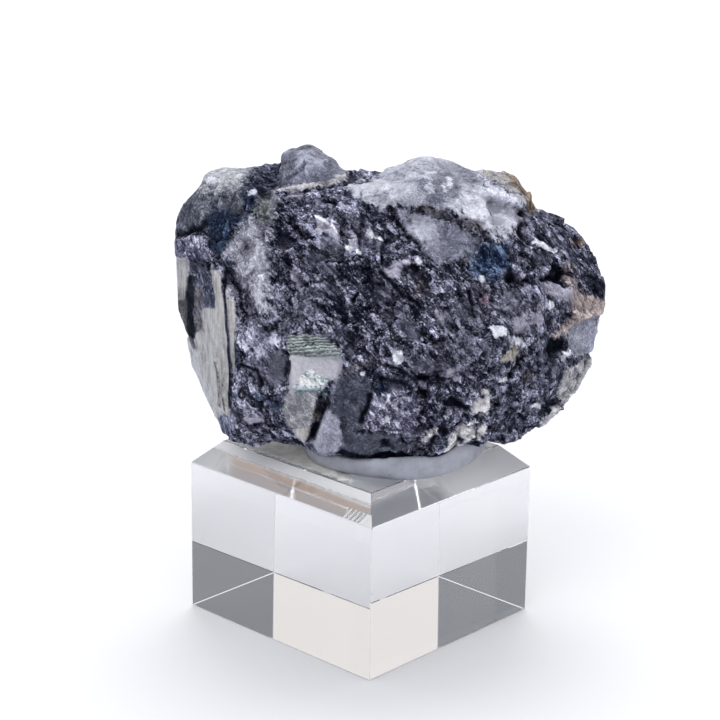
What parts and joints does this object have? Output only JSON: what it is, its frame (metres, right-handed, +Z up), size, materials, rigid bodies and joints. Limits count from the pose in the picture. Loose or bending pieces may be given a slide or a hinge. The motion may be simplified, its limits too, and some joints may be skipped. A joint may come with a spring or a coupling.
{
  "type": "native antimony specimen on display block",
  "caption": "Dark metallic native antimony rock, held by a pad of mineral tack on a clear bevelled acrylic display block that stands on a flat surface.",
  "frame": {"origin": "centre of the display block's underside, where it stands", "axes": "+Z up; the specimen's display side faces -Y; +X is to the right of someone looking at that side"},
  "size_m": [0.0586, 0.0462, 0.0632],
  "materials": {
    "antimony_ore": "satin",
    "tack": "matte",
    "clear_acrylic": "polished"
  },
  "bodies": {
    "root": {"antimony_stone": "antimony_ore", "mineral_tack": "tack", "acrylic_block": "clear_acrylic"}
  },
  "joints": []
}
